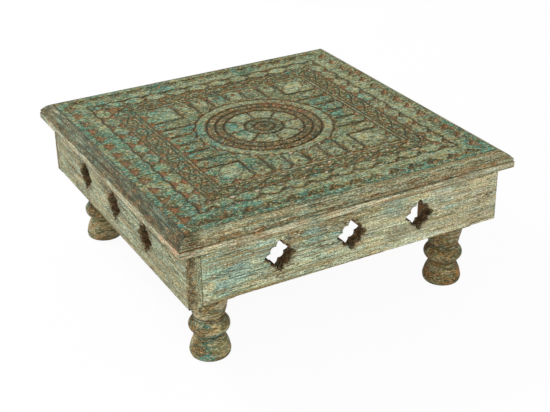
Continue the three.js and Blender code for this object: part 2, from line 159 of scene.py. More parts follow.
# Turned legs: (radius, height) in shares of the turned radius and of the length below the head

leg_turned_radius = 25.0
leg_head_drop = 14.0
leg_segments = 96
head_edge_round = 1.6
head_squareness = 14.0
head_rows = 24
leg_sole = (0.88, 0.0)
leg_swell = (1.0, 0.087)
leg_shoulder = (0.91, 0.235)
leg_waist = (0.65, 0.355)
leg_bead_top = (0.744, 0.622)
leg_collar = (0.79, 0.648)
leg_collar_half = 0.014
leg_collar_round = 0.012
leg_neck_foot = (0.762, 0.664)
leg_neck_middle = (0.896, 0.83)
leg_neck_top = (0.985, 0.99)
leg_dark_rings = (0.372, 0.63, 0.668)

# Camera and light: turns are in degrees

studio_light = 0.62
floor_glow = 0.95
camera_place = (-0.6368, -1.1928, 0.7785)
camera_turns = dict(Y=-0.9321, X=27.5471, Z=28.6088)
camera_lens = 75.036

# Places where the paint differs, each (x, y, radius), or (along, up, radius) on an apron

rim_bare_places = ((-224, -216, 9), (-224, -198, 8), (-224, -178, 6), (-206, -224, 5))
teal_places = (
    (-41, 21, 11), (-36, -4, 10), (-43, 4, 9), (-80, 45, 13), (-82, 14, 12), (-79, -18, 13),
    (-160, 173, 14), (-131, 34, 9), (-131, 12, 9), (-131, -14, 9), (-129, -34, 9),
    (-178, -28, 12), (-177, -48, 12), (-176, -70, 10), (-183, -120, 12), (-182, -152, 16),
    (-196, 60, 12), (-150, -60, 12), (-116, -24, 14), (-104, 6, 14), (-15, -151, 8),
    (-55, -211, 20), (-20, -208, 14), (96, -209, 16), (153, 24, 12), (154, 2, 10),
    (104, 34, 16), (100, -4, 16), (196, -182, 16), (-70, -92, 14), (-98, -58, 13), (-10, 118, 14),
    (-128, 96, 12), (128, 150, 12), (66, 190, 16), (-60, 186, 18),
)
brown_places = (
    (-214, -208, 10), (-206, -216, 9), (48, 52, 13), (60, 36, 11), (66, 18, 9), (36, 64, 9),
    (206, 100, 8), (-150, 150, 9),
)
pale_places = (
    (84, -92, 24), (100, 100, 22), (100, -104, 20), (-100, -104, 24), (-96, 98, 22),
    (30, -104, 18), (-24, -104, 16), (8, 104, 24), (44, -182, 30), (150, -182, 26),
    (182, 60, 24), (183, -40, 30), (184, 150, 30), (-196, -96, 16), (-198, 150, 18),
)
shaded_places = ((0, 0, 70), (-170, -170, 60))
apron_teal_places = dict(
    front=((-180, 140, 20), (-150, 132, 24), (-110, 140, 20), (-168, 112, 14), (-50, 146, 16),
           (-22, 138, 12), (60, 150, 16), (140, 130, 10)),
    left=((160, 104, 10),))
apron_brown_places = dict(
    front=((-150, 158, 16), (-84, 160, 22), (-6, 162, 26), (58, 116, 12), (182, 104, 20),
           (196, 130, 16), (120, 160, 18), (-96, 100, 12), (160, 152, 14)),
    left=((-120, 160, 24), (-20, 162, 30), (100, 162, 24)))

# How much browner and how much darker each leg is

leg_moods = dict(front_left=(0.0, -0.05), front_right=(0.34, -0.05), rear_right=(0.1, 0.1),
                 rear_left=(0.0, 0.3))

# Coats of paint, in 0 to 255 as the eye sees them, and the amounts that worn_paint tells of

shared_coats = dict(
    # the dark colour on this line serves dirt and painted shade alike
    wood_dark=(58, 48, 26), wood_light=(104, 84, 52), wood_warm=(150, 106, 58), dirt=(46, 39, 20),
    # the next colour is that of the painted highlights on the top's chips
    bright=(226, 208, 188), green=(70, 92, 56), patch=(90, 150, 130), patch_deep=(52, 106, 92),
    raw=(148, 98, 64), line_warm=(146, 118, 78), band_warm=(152, 140, 92), band_dark=(88, 98, 64))
shared_amounts = dict(
    top=0.82, under=0.66, patch_force=0.9, stretch=4.0, grit=0.5, fleck=1.4, top_pale=0.575,
    wood_dark=0.585, lines=0.75, bands=0.8, catch=0.5, grime_and_shade=0.7, relief=0.7,
    tints=((0.96, 1.0, 1.0), (1.03, 1.0, 0.88)))
panel_coats = dict(
    top_a=(138, 138, 98), top_b=(114, 136, 104), top_pale=(200, 202, 166),
    under_a=(82, 84, 48), under_b=(58, 90, 72), green=(50, 88, 56))
panel_amounts = dict(
    top=0.785, under=0.63, patch=0.96, patch_force=1.0, stretch=1.6, grit=0.38,
    fleck=3.0, force=0.7, green=0.465, patch_deep=0.61, wood_warm=0.63, top_pale=0.58,
    wood_dark=0.565, lines=0.0, bands=0.95, catch=0.9, grime_and_shade=0.75, relief=0.8,
    tints=((0.86, 1.0, 1.06), (1.05, 1.0, 0.82)))
rim_coats = dict(
    top_a=(174, 172, 132), top_b=(156, 168, 130), top_pale=(220, 212, 176),
    under_a=(112, 104, 62), under_b=(86, 108, 78), band_warm=(172, 150, 106), dirt=(42, 44, 20),
    bright=(216, 164, 122), line_warm=(142, 124, 86))
rim_amounts = dict(
    patch=1.12, force=0.65, green=0.495, patch_deep=0.64, wood_warm=0.65,
    bands=0.7, catch=0.8, grime_and_shade=0.45, tints=((0.90, 1.0, 1.08), (1.04, 1.0, 0.98)))
apron_coats = dict(
    top_a=(182, 196, 164), top_b=(190, 192, 152), top_pale=(230, 236, 208),
    patch=(150, 190, 176), patch_deep=(124, 162, 152), green=(94, 98, 66), wood_warm=(160, 126, 82),
    under_a=(130, 120, 78), under_b=(108, 122, 92), bright=(224, 212, 180),
    line_warm=(156, 142, 104), band_warm=(204, 182, 136), band_dark=(118, 126, 90))
apron_amounts = dict(
    patch=1.04, patch_force=0.8, grit=0.47, force=0.8, green=0.505, patch_deep=0.63,
    wood_warm=0.645)
leg_coats = dict(
    top_a=(186, 168, 122), top_b=(148, 150, 104), top_pale=(206, 198, 160),
    under_a=(124, 106, 60), under_b=(84, 98, 62), wood_warm=(156, 122, 70), raw=(172, 124, 68),
    band_warm=(170, 134, 84), band_dark=(84, 92, 58))
leg_amounts = dict(
    under=0.67, patch=1.10, stretch=1.3, fleck=2.0, force=0.5, green=0.49,
    patch_deep=0.65, wood_warm=0.61, top_pale=0.57, wood_dark=0.575, lines=0.0, relief=0.8,
    tints=((0.93, 1.0, 1.12), (1.08, 1.0, 0.94)))


# Noise and masks on arrays

def eased(share):
    return share * share * (3 - 2 * share)


def held(mask):
    return np.clip(mask, 0, 1)


def smoothstep(low, high, value):
    """From 0 at low to 1 at high. low may be the higher of the two."""
    return eased(held((value - low) / (high - low)))


def between(value, low, high, margin=0.0):
    return (value > low + margin) & (value < high - margin)


def noise(x, y, cell, seed):
    """Smooth noise from -1 to 1, even over squares of that size."""
    size = 64
    lattice = np.random.default_rng(seed).uniform(-1, 1, (size, size))
    u, v = x / cell, y / cell
    i, j = np.floor(u).astype(int), np.floor(v).astype(int)
    s, t = eased(u - i), eased(v - j)
    i0, i1, j0, j1 = i % size, (i + 1) % size, j % size, (j + 1) % size
    near = lattice[i0, j0] * (1 - s) + lattice[i1, j0] * s
    far = lattice[i0, j1] * (1 - s) + lattice[i1, j1] * s
    return near * (1 - t) + far * t


def spots(x, y, places):
    """A mask of soft round spots, each (x, y, radius)."""
    mask = np.zeros_like(x)
    for px, py, radius in places:
        away = np.hypot(x - px, y - py) / radius
        mask = np.maximum(mask, np.exp(-away * away))
    return mask


def blurred(field, times):
    for _ in range(times):
        padded = np.pad(field, 1, mode="edge")
        field = (padded[:-2, 1:-1] + padded[2:, 1:-1] + padded[1:-1, :-2] + padded[1:-1, 2:]
                 + 4 * padded[1:-1, 1:-1]) / 8
    return field


def repeated(value, pitch, shift=0.0):
    """The offset from the nearest of evenly spaced places, and that place's number."""
    number = np.round(value / pitch - shift)
    return value - (number + shift) * pitch, number


# Cuts of the carver

def v_cut(distance, width, depth):
    return depth * held(1 - 2 * np.abs(distance) / width)


class Chips:
    """Three-sided chips: their depth, how far into one each place lies, and a painted highlight on their
    base facets.
    """

    def __init__(self, shape):
        self.depth, self.share, self.base = (np.zeros(shape) for _ in range(3))

    def cut(self, u, v, width, reach, depth, where=1.0):
        """Pits whose base edge lies on v = 0 and whose point is at v = reach."""
        point = v / reach
        sides = (1 - point - 2 * np.abs(u) / width) / 2
        share = where * held(3 * np.minimum(point, sides))
        facet = where * smoothstep(0, 0.05, point) * smoothstep(0, 0.12, sides - point)
        self.depth = np.maximum(self.depth, depth * share)
        self.share = np.maximum(self.share, share)
        # a painted highlight: a pale spot at the middle of each base facet
        self.base = np.maximum(self.base, facet * np.exp(-(u / highlight_reach) ** 2))


def border_carving(across, along, chips):
    """Cuts of one side: across is the distance from the middle of the top. Gives the lines."""
    u, number = repeated(along, outer_chip_pitch, 0.5)
    shown = np.abs(number + 0.5) < outer_chip_count / 2
    chips.cut(u, outer_chip_base - across, **outer_chip, where=shown)
    scallop = diamond_line_outer - diamond_scallop * np.cos(2 * np.pi * along / diamond_pitch)
    lines = [v_cut(across - scallop, *line_groove)]
    u, number = repeated(along, diamond_pitch)
    shown = np.abs(number) <= diamond_count / 2
    chips.cut(u, diamond_line_outer - 1 - across, **diamond_chip, where=shown)
    chips.cut(u, across - diamond_line_inner - 1, **diamond_chip, where=shown)
    field = between(across, fillet_outer, diamond_line_inner, 1)
    wave = garland_swing * np.cos(np.pi * along / diamond_pitch)
    lines += [field * v_cut(across - garland_middle - way * wave, *garland_line) for way in (1, -1)]
    chips.cut(u, across - garland_middle + crossing_shift, **crossing_chip, where=field)
    u, _ = repeated(along, diamond_pitch, 0.5)
    chips.cut(u, diamond_line_inner - 2.2 - across, **garland_chip, where=field)
    chips.cut(u, across - fillet_outer - 2.0, **garland_chip, where=field)
    lines += [v_cut(across - place, *line_groove)
              for place in (diamond_line_inner, fillet_outer, fillet_inner)]
    u, number = repeated(along, inner_chip_pitch)
    shown = np.abs(number) <= inner_chips_each_side
    chips.cut(u, inner_chip_base - across, **inner_chip, where=shown)
    return lines


def spandrel_carving(across, along, radius, chips):
    """Ruled cells between the inner chips and the halo, with leaves. Gives lines and leaves."""
    cell = inner_chip_pitch
    edge = cell_lines_each_side * cell
    base = cell_line_outer - 1
    within = (across < cell_line_outer + 2) & (radius > halo_radius + halo_chip["reach"])
    u, number = repeated(along, cell)
    ruled = within & (np.abs(number) <= cell_lines_each_side) & (across > edge - 1)
    rules = ruled * v_cut(u, *cell_groove)
    middle, _ = repeated(along, cell, 0.5)
    in_cells = within & (np.abs(along) < edge)
    rise = np.clip((base - across) / arch_rise, 0, 1.2)
    arch = arch_half_width * np.sqrt(held(1 - rise ** 1.7))
    arches = in_cells * v_cut(np.abs(middle) - arch, *arch_groove) * (rise < 1)
    chips.cut(middle, base - across, **cell_chip, where=in_cells)
    corner = within & (np.abs(along) > edge) & (across > edge)
    leaf_side = np.abs(np.abs(along) - across) / math.sqrt(2)
    leaf_end = np.abs((np.abs(along) + across) / math.sqrt(2) - (edge + 20) * math.sqrt(2))
    leaf = 1 - (leaf_side / leaf_half_width) ** 1.4 - (leaf_end / leaf_half_length) ** 2.2
    outline = corner * v_cut(leaf * 13, *leaf_groove)
    leaves = np.maximum(0.9 * corner * held(2 * leaf), 0.4 * in_cells * (np.abs(middle) < arch))
    return [rules, outline, arches], leaves


def medallion_carving(x, y, chips):
    """Rings, petals, rosette and the toothed halo round them. Gives the lines."""
    radius = np.hypot(x, y)
    angle = np.arctan2(y, x)

    def spokes(count, shift=0.0):
        return repeated(angle, 2 * np.pi / count, shift)[0]

    rings = (boss_radius, eye_radius, petal_radius, ring_middle_radius, medallion_radius)
    lines = [v_cut(radius - place, *ring_groove) for place in rings]
    chips.cut(spokes(halo_chip_count, 0.5) * halo_radius, radius - halo_radius - 0.8, **halo_chip)
    scallop = halo_scallop * np.abs(np.cos(angle * halo_chip_count / 2))
    lines.append(v_cut(radius - (halo_radius + halo_line_shift - scallop), *halo_groove))
    in_petals = between(radius, eye_radius, petal_radius)
    petal = spokes(petal_count) * radius
    lines.append(in_petals * v_cut(petal, *petal_groove))
    chips.cut(petal, petal_radius - 1.0 - radius, **petal_chip, where=in_petals)
    for low, high, count in zip(rings[2:], rings[3:], ring_teeth):
        tooth = spokes(count) * ((low + high) / 2)
        lines.append(0.45 * between(radius, low, high, 1.6) * v_cut(tooth, *tooth_groove))
    in_eye = between(radius, boss_radius, eye_radius, 1.5)
    lines.append(in_eye * v_cut(spokes(eye_spokes, 0.5) * radius, *eye_groove))
    rosette = np.maximum(v_cut(spokes(boss_spokes) * radius, *boss_groove),
                         v_cut(radius - boss_ring_radius, *boss_ring_groove))
    lines.append((radius < boss_radius - 1) * rosette)
    return lines


class CarvedTop:
    """What is carved at places on the top, how the paint has worn there, and where shade and highlights are
    painted.
    """

    def __init__(self, x, y):
        self.x, self.y = x, y
        self.wx, self.wy = self.by_hand(x, 11), self.by_hand(y, 13)
        self.across = np.maximum(np.abs(self.wx), np.abs(self.wy))
        self.upright = np.abs(self.wx) > np.abs(self.wy)
        self.at_left = self.upright & (self.wx < 0)
        self.radius = np.hypot(self.wx, self.wy)
        along = np.where(self.upright, self.wy, self.wx)
        self.chips = Chips(x.shape)
        lines = border_carving(self.across, along, self.chips)
        cell_lines, self.leaves = spandrel_carving(self.across, along, self.radius, self.chips)
        lines += cell_lines + medallion_carving(self.wx, self.wy, self.chips)
        self.lines = np.maximum.reduce(lines)
        # painted highlight on the chips' base facets: full on the front rows, faint on the right rows, none
        # on the others
        self.bright = self.chips.base * np.where(self.upright, 0.3 * (self.wx > 0), 1.0 * (self.wy < 0))

    def by_hand(self, value, seed):
        """A coordinate that wanders a little, as lines cut by hand do."""
        return (value + carving_warp * noise(self.x, self.y, carving_warp_cell, seed)
                + carving_shake * noise(self.x, self.y, carving_shake_cell, seed + 1))

    def sides(self):
        """The sloping sides of the chips: painted shade, with dirt."""
        share = self.chips.share
        edges = smoothstep(0.02, 0.12, share) * smoothstep(0.5, 0.26, share)
        return edges * (1 - 0.8 * self.chips.base) * (0.88 - 0.06 * self.at_left)

    def brown(self):
        """Bare wood: the outer ring of the medallion, a few spots and the hearts of the chips."""
        x, y = self.x, self.y
        on_ring = smoothstep(petal_radius, petal_radius + 2, self.radius)
        on_ring = on_ring * smoothstep(medallion_radius + 1, medallion_radius - 1, self.radius)
        on_ring = on_ring * (0.48 + 0.2 * noise(x, y, 21, 16) - 0.12 * (x < -30))
        inner_rows = np.abs(self.wy) < fillet_outer + 24
        bare = np.where(self.upright, 0.9 - 0.12 * (self.wx > 0), 0.35 + 0.4 * inner_rows)
        hearts = smoothstep(0.0, 0.16, self.chips.share) * (1 - self.bright)
        hearts = hearts * (bare - 0.06 * self.at_left + 0.35 * noise(x, y, 13, 17))
        return np.maximum.reduce([on_ring, spots(x, y, brown_places), hearts])

    def pale(self):
        """Paint that kept its light colour: halo, petals, fillet, plain bands, diamonds and leaves."""
        across, radius = self.across, self.radius
        halo = between(radius, medallion_radius + 1, halo_radius + 1)
        petals = between(radius, eye_radius, petal_radius, 1)
        fillet = between(across, fillet_inner, fillet_outer, 0.5)
        plain = between(across, plain_band_inner, outer_chip_base - outer_chip["reach"])
        bands = 0.55 * halo + 0.6 * petals + 0.9 * fillet * (self.wx > -100) + 0.45 * plain
        bands = bands + 0.25 * (across > outer_chip_base + 1)
        diamonds = between(across, diamond_line_inner, diamond_line_outer, 1.5) & (self.chips.share < 0.05)
        spotted = 0.7 * spots(self.x, self.y, pale_places)
        return held(np.maximum.reduce([bands, self.leaves, 0.5 * diamonds, spotted]))

    def teal(self):
        """The older coat: spots, the front margin and a drift at the left."""
        left = smoothstep(20, -150, self.x) * (0.22 + 0.4 * noise(self.x, self.y, 30, 18))
        front_margin = 0.5 * (self.across > outer_chip_base + 1) * (self.wy < -100)
        return np.maximum.reduce([spots(self.x, self.y, teal_places), front_margin, left])

    def fields(self):
        depth = np.maximum(self.chips.depth, self.lines) * (1 + 0.18 * noise(self.x, self.y, 24, 15))
        shade = 0.10 * smoothstep(-130, -200, self.x) + 0.13 * spots(self.x, self.y, shaded_places)
        return dict(depth=depth, sides=self.sides(), lines=self.lines, brown=self.brown(), shade=shade,
                    pale=self.pale(), teal=self.teal(), bright=self.bright, share=self.chips.share)


# Meshes

def in_mm(box):
    """The two corners of a box of the frame, in millimetres."""
    return [np.array(corner) / MM for corner in box]


def set_field(mesh, name, values, kind="FLOAT", key="value"):
    field = mesh.attributes.new(name, kind, "POINT")
    field.data.foreach_set(key, np.asarray(values, np.float32).ravel())


def make_piece(name, points, faces, masks, grain, material, replaced):
    """points are in millimetres, and so is grain, the place in the wood that the paint follows."""
    mesh = bpy.data.meshes.new(name)
    mesh.from_pydata((points * MM).tolist(), [], faces)
    mesh.validate()
    mesh.polygons.foreach_set("use_smooth", [True] * len(mesh.polygons))
    for mask in mask_names:
        set_field(mesh, mask, masks.get(mask, np.zeros(len(points))))
    set_field(mesh, "grain", grain * MM, "FLOAT_VECTOR", "vector")
    mesh.materials.append(material)
    piece = bpy.data.objects.new(name, mesh)
    bpy.context.scene.collection.objects.link(piece)
    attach(piece, "root")
    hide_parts(replaced)


def grid_faces(rows, columns, closed=False):
    """Quads of a grid of points laid out row after row. closed joins the last column to the first."""
    faces = []
    reach = columns if closed else columns - 1
    for i in range(rows - 1):
        for j in range(reach):
            a, b = i * columns + j, i * columns + (j + 1) % columns
            faces.append((a, b, b + columns, a + columns))
    return faces


def grid_border(rows, columns):
    """(row, column) of the points round the edge of a grid, from its first point."""
    places = [(0, j) for j in range(columns)] + [(i, columns - 1) for i in range(1, rows)]
    places += [(rows - 1, j) for j in range(columns - 2, -1, -1)]
    return places + [(i, 0) for i in range(rows - 2, 0, -1)]


def following(ring):
    """The point after each point of a closed ring, for the quads between two rings."""
    return ring[1:] + ring[:1]


def numbered(start, count):
    return list(range(start, start + count))


def curve(start, control, end, steps):
    """Points of a curve that leaves start and reaches end, drawn towards the control."""
    t = np.linspace(0, 1, steps + 1)[1:, None]
    a, b, c = (np.array(place) for place in (start, control, end))
    return (1 - t) ** 2 * a + 2 * t * (1 - t) * b + t * t * c


def turned_about(points, quarter):
    """Points turned by quarter turns about the upright axis."""
    c, s = round(math.cos(quarter * math.pi / 2)), round(math.sin(quarter * math.pi / 2))
    x, y, z = points.T
    return np.stack([c * x - s * y, s * x + c * y, z], 1)


# Panel

def panel_dirt_and_shade(x, y, to_edge, hollow, fields):
    """Dirt and painted shade in the lines, on and round the chips and along the edge of the panel."""
    ring_place = np.maximum(np.abs(x), np.abs(y))
    in_garland = between(ring_place, fillet_inner, diamond_line_inner, -2)
    faint = 1 - 0.35 * in_garland * smoothstep(0, 12, -x - np.abs(y))
    in_lines = held(smoothstep(0.02, 0.5, fields["lines"]) * faint + 0.3 * hollow)
    share = fields["share"]
    around = held(2.2 * blurred(share, 5)) * smoothstep(0.15, 0, share)
    beside = smoothstep(0.03, 0.4, blurred(fields["lines"], 3)) * (1 - 0.5 * in_garland)
    at_edge = smoothstep(1.6, 0, to_edge)
    dirt = np.maximum.reduce([in_lines, 0.95 * fields["sides"], 0.68 * around, 0.6 * beside, 0.8 * at_edge])
    return dirt + (1 - dirt) * fields["shade"]


def closed_panel(surface, count, bottom):
    """Points and faces of the carved surface, closed by sides and an underside."""
    border = [i * count + j for i, j in grid_border(count, count)]
    foot = numbered(len(surface), len(border))
    base = numbered(foot[-1] + 1, len(border))
    under = surface[border] * (1, 1, 0) + (0, 0, bottom)
    faces = grid_faces(count, count)
    faces += zip(following(border), border, foot, following(foot))
    faces += zip(following(foot), foot, base, following(base))
    faces.append(tuple(reversed(base)))
    return np.concatenate([surface, under, under * (underside_share, underside_share, 1)]), faces


def make_panel(material):
    low, high = in_mm(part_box("top_panel"))
    half = high[0] - panel_tongue
    line = np.linspace(-half, half, panel_grid_cells + 1)
    x, y = np.meshgrid(line, line)
    quarter_cell = (line[1] - line[0]) / 4
    shifts = (-quarter_cell, quarter_cell)
    samples = [CarvedTop(x + sx, y + sy).fields() for sx in shifts for sy in shifts]
    fields = {key: sum(sample[key] for sample in samples) / len(samples) for key in samples[0]}
    wave = 0.12 * noise(x, y, 60, 21) + 0.05 * noise(x, y, 7, 22) + 0.06 * noise(x * 0.12, y, 3.1, 23)
    to_edge = half - np.maximum(np.abs(x), np.abs(y))
    drop = panel_edge_drop * smoothstep(1.4, 0, to_edge)
    height = np.minimum(-fields["depth"] - panel_sunk + wave - drop, 0)
    relief = height - blurred(height, 7)
    fields["wear"] = held(relief / 0.5)
    fields["dirt"] = panel_dirt_and_shade(x, y, to_edge, held(-relief / 0.7), fields)
    surface = np.stack([x.ravel(), y.ravel(), (high[2] + height).ravel()], 1)
    points, faces = closed_panel(surface, len(line), low[2])
    hidden = np.ones(len(points) - len(surface))
    below = dict(dirt=0.3, brown=0.9)
    masks = {mask: np.append(fields[mask], below.get(mask, 0.0) * hidden) for mask in mask_names}
    make_piece("carved_panel", points, faces, masks, points, material, "top_panel")


# Rims

def rim_section(width, slab):
    """(across, up, wear, dirt and painted shade) round the moulding from the underside to the inner edge."""
    quirk_top = rim_band_height + rim_quirk_height
    fillet_top = quirk_top + rim_fillet_height
    section = [(width, 0, 0, 0.5), (rim_edge_round + 3, 0, 0.1, 0.4)]
    turns = np.linspace(0, math.pi / 2, rim_arc_steps + 1)
    section += [(*rim_edge_round * np.array([1 - math.sin(t), 1 - math.cos(t)]), 0.9, 0) for t in turns]
    section += [(0, up, 0.15, 0) for up in (3.0, 5.0, 7.0)]
    section += [
        (0.05, rim_band_height - 0.7, 0.7, 0),
        (0.35, rim_band_height - 0.1, 0.7, 0.3),
        # dirt and painted shade in the quirk
        (rim_quirk_depth, rim_band_height + 0.1, 0, 1),
        (rim_quirk_depth, quirk_top - 0.1, 0, 1),
        (rim_fillet_setback + 0.25, quirk_top + 0.1, 0.4, 0.5),
        (rim_fillet_setback, quirk_top + 0.6, 0.4, 0),
        (rim_fillet_setback, fillet_top - 0.7, 0.5, 0),
        (rim_fillet_setback + 0.3, fillet_top - 0.05, 0.9, 0),
    ]
    start = np.array([rim_fillet_setback + 1.0, fillet_top + 0.45])
    end = np.array([width, slab])
    run = end - start
    crown = np.array([-run[1], run[0]]) / np.hypot(*run) * 2 * rim_crown
    slope = np.vstack([start, curve(start, (start + end) / 2 + crown, end, rim_slope_steps)])
    t = np.linspace(0, 1, len(slope))
    # dirt and painted shade grow towards the inner edge of the slope
    section += zip(slope[:, 0], np.minimum(slope[:, 1], slab), 0.5 * (1 - t) ** 6, 0.7 * t ** 10)
    return np.array(section + [(width, slab - 3, 0, 1)])


def rim_faces(rows):
    """Quads round the section, along its inner edge and over both ends."""
    faces = [tuple(reversed(face)) for face in grid_faces(rows, rim_stations)]
    starts = [i * rim_stations for i in range(rows)]
    ends = [start + rim_stations - 1 for start in starts]
    return faces + [(starts[-1], ends[-1], ends[0], starts[0]), tuple(starts), tuple(reversed(ends))]


def rim_masks(quarter, side, places, x, up, wear, dirt, grit, near_mitre):
    """Paint masks of one moulding. places are its points where they stand."""
    px, py, _ = places.T
    smudge = spots(px, py, brown_places)
    orange = smoothstep(0.2, 0.7, noise(x, up, 46, 60 + quarter) + 0.25)
    left_slope = (side == "left") * (up > rim_band_height + 2)
    nearer = smoothstep(120, -80, py)
    shade = left_slope * (0.95 + 0.85 * nearer) * (1 + 0.3 * grit)
    band = up < rim_band_height
    # dirt with painted shade: the quirk and inner edge, the mitres, the painted shade down the left slope,
    # and smudges
    grime_and_shade = 0.8 * dirt + 0.3 * near_mitre + 0.9 * shade + 0.8 * smudge
    return dict(
        wear=held(0.7 * wear + 0.1 * shade), dirt=held(grime_and_shade),
        brown=held(0.4 * smudge + 0.12 * wear * orange), pale=0.2 + 0.8 * band,
        teal=0.7 * spots(px, py, teal_places) + 0.55 * left_slope,
        bright=spots(px, py, rim_bare_places) * band)


def make_rims(material):
    """Four mouldings, mitred at both ends, each one turned into its place."""
    low, high = in_mm(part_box("rim_front"))
    outer, width = -low[1], high[1] - low[1]
    section = rim_section(width, high[2] - low[2])
    across, up, wear, dirt = np.repeat(section, rim_stations, axis=0).T
    x = (outer - across - rim_mitre_gap) * np.tile(np.linspace(-1, 1, rim_stations), len(section))
    near_mitre = smoothstep(3, 0, outer - np.abs(x) - across)
    shown = (across < width - 0.1) & (up > 0.1)
    for quarter, side in enumerate(side_names):
        grit = noise(x, up, 13, 40 + quarter)
        dents = held(noise(x, across + up, 5.5, 50 + quarter) - 0.35)
        sink = shown * (0.12 + 0.12 * grit + 1.1 * dents * wear)
        y = -outer + across + sink * (across < width / 2)
        z = low[2] + up - sink * 0.7 * (up > rim_band_height)
        points = np.stack([x, y, z], 1)
        places = turned_about(points, quarter)
        masks = rim_masks(quarter, side, places, x, up, wear, dirt, grit, near_mitre)
        grain = points + (700.0 * quarter, 90.0 * quarter, 0)
        make_piece(f"rim_moulding_{side}", places, rim_faces(len(section)), masks, grain, material,
                   f"rim_{side}")


# Aprons

def star_radius(turn):
    """How far the star piercing reaches at an angle: eight pointed lobes, long and short."""
    eighths = turn / (math.pi / 4)
    lobe = round(eighths)
    to_notch = 2 * abs(eighths - lobe)
    tip, swell = ((1.0, long_swell), (short_lobe_share, short_swell))[lobe % 2]
    straight = piercing_reach * (tip + (notch_share - tip) * to_notch)
    return straight + swell * 4 * to_notch * (1 - to_notch)


def board_levels(low, high, middles, half):
    """Grid lines along a board: close at its edges, set to each cell's spokes, even between."""
    spokes = [math.tan((k / cell_steps - 0.5) * math.pi / 2) for k in range(cell_steps + 1)]
    levels = [low + board_round + away for away in board_edge_lines]
    groups = [[middle + half * spoke for spoke in spokes] for middle in middles]
    groups.append([high - board_round - away for away in reversed(board_edge_lines)])
    for group in groups:
        count = max(1, round((group[0] - levels[-1]) / board_column))
        levels += list(np.linspace(levels[-1], group[0], count + 1)[1:-1]) + group
    return levels


def cell_ring(row, column, columns):
    """Point numbers round the square cell of a star, from its low right corner."""
    steps, n = range(cell_steps), cell_steps
    places = [(k, n) for k in steps] + [(n, n - k) for k in steps]
    places += [(n - k, 0) for k in steps] + [(0, k) for k in steps]
    return [(row + i) * columns + column + j for i, j in places]


def star_rings(points, square, centre):
    """Rings from a star hole out to its square. Gives new points, quads and the hole's edge loop."""
    count = len(square)
    turns = -math.pi / 4 + 2 * math.pi * np.arange(count) / count
    ways = np.stack([np.cos(turns), np.sin(turns)], 1)
    reach = np.array([star_radius(turn % (2 * math.pi)) + board_round for turn in turns])
    hole = centre + ways * reach[:, None]
    new = [hole + (points[square] - hole) * share for share in star_ring_shares]
    rings = [numbered(len(points) + k * count, count) for k in range(len(new))] + [square]
    faces = []
    for inner, outer in zip(rings, rings[1:]):
        faces += zip(inner, outer, following(outer), following(inner))
    return np.concatenate(new), faces, (rings[0][::-1], -ways[::-1], True)


def apron_face(low, high):
    """Points and quads of a board's face with its star holes, and the loops round its edges.

    A loop is its point numbers, the way out of the wood at each, and if it is a hole's.
    """
    middle = (low[2] + high[2]) / 2
    half_height = (high[2] - low[2]) / 2 - cell_edge_margin - board_round
    along = np.array(board_levels(low[0], high[0], star_places, cell_half_width))
    upward = np.array(board_levels(low[2], high[2], [middle], half_height))
    rows, columns = len(upward), len(along)
    points = np.stack([np.tile(along, rows), np.repeat(upward, columns)], 1)
    row = int(np.argmin(np.abs(upward - middle + half_height)))
    starts = [int(np.argmin(np.abs(along - place + cell_half_width))) for place in star_places]
    pierced = {(row + i) * columns + start + j
               for start in starts for i in range(cell_steps) for j in range(cell_steps)}
    faces = [face for face in grid_faces(rows, columns) if face[0] not in pierced]
    loops = []
    for place, start in zip(star_places, starts):
        new, quads, loop = star_rings(points, cell_ring(row, start, columns), (place, middle))
        points = np.concatenate([points, new])
        faces += quads
        loops.append(loop)
    edge = grid_border(rows, columns)
    ways = [((j == columns - 1) - (j == 0), (i == rows - 1) - (i == 0)) for i, j in edge]
    loops.append(([i * columns + j for i, j in edge], np.array(ways), False))
    return points, faces, loops


def edge_stations(thickness):
    """(out, depth) over the edge of a board from its face to its back, with both arrises rounded."""
    turns = [k / board_arc_steps * math.pi / 2 for k in range(1, board_arc_steps + 1)]
    arc = [(board_round * math.sin(turn), board_round * (1 - math.cos(turn))) for turn in turns]
    flat = thickness - 2 * board_round
    wall = [(board_round, board_round + flat * k / board_wall_steps) for k in range(1, board_wall_steps)]
    return arc + wall + [(out, thickness - depth) for out, depth in reversed(arc)]


def board_solid(flat, face, loops, thickness):
    """A board from its flat face. Gives points, faces and two marks: at an arris, and in a hole."""
    count = len(flat)
    blocks = [np.insert(flat, 1, depth, axis=1) for depth in (0.0, thickness)]
    marks = [np.zeros((2 * count, 2))]
    faces = face + [tuple(count + k for k in reversed(quad)) for quad in face]
    total = 2 * count
    for loop, ways, is_hole in loops:
        last = loop
        for out, depth in edge_stations(thickness):
            blocks.append(np.insert(flat[loop] + out * ways, 1, depth, axis=1))
            on_arris = min(depth, thickness - depth) < board_round * 1.2
            marks.append(np.full((len(loop), 2), (on_arris, is_hole), float))
            ring = numbered(total, len(loop))
            total += len(loop)
            faces += zip(ring, following(ring), following(last), last)
            last = ring
        back = [count + k for k in loop]
        faces += zip(back, following(back), following(last), last)
    return np.concatenate(blocks), faces, *np.concatenate(marks).T


class Board:
    """An apron board before it is worn, and where each of its points lies on it."""

    def __init__(self, low, high):
        self.low, self.high, self.middle = low, high, (low + high) / 2
        self.thickness = high[1] - low[1]
        self.points, self.faces, self.arris, self.hole = board_solid(*apron_face(low, high), self.thickness)
        x, deep, z = self.x, self.deep, self.z = self.points.T
        self.to_edge = np.minimum.reduce([x - low[0], high[0] - x, z - low[2], high[2] - z])
        from_star = np.min([np.hypot(x - place, z - self.middle[2]) for place in star_places], axis=0)
        self.around = np.exp(-np.clip(from_star - piercing_reach * 0.8, 0, None) / 4.0) * (from_star > 1)
        self.end_grain = smoothstep(high[0] - 0.6, high[0] - 0.1, x)
        self.wall = self.hole * (1 - 0.5 * self.arris)
        self.back = deep > self.thickness - 0.05


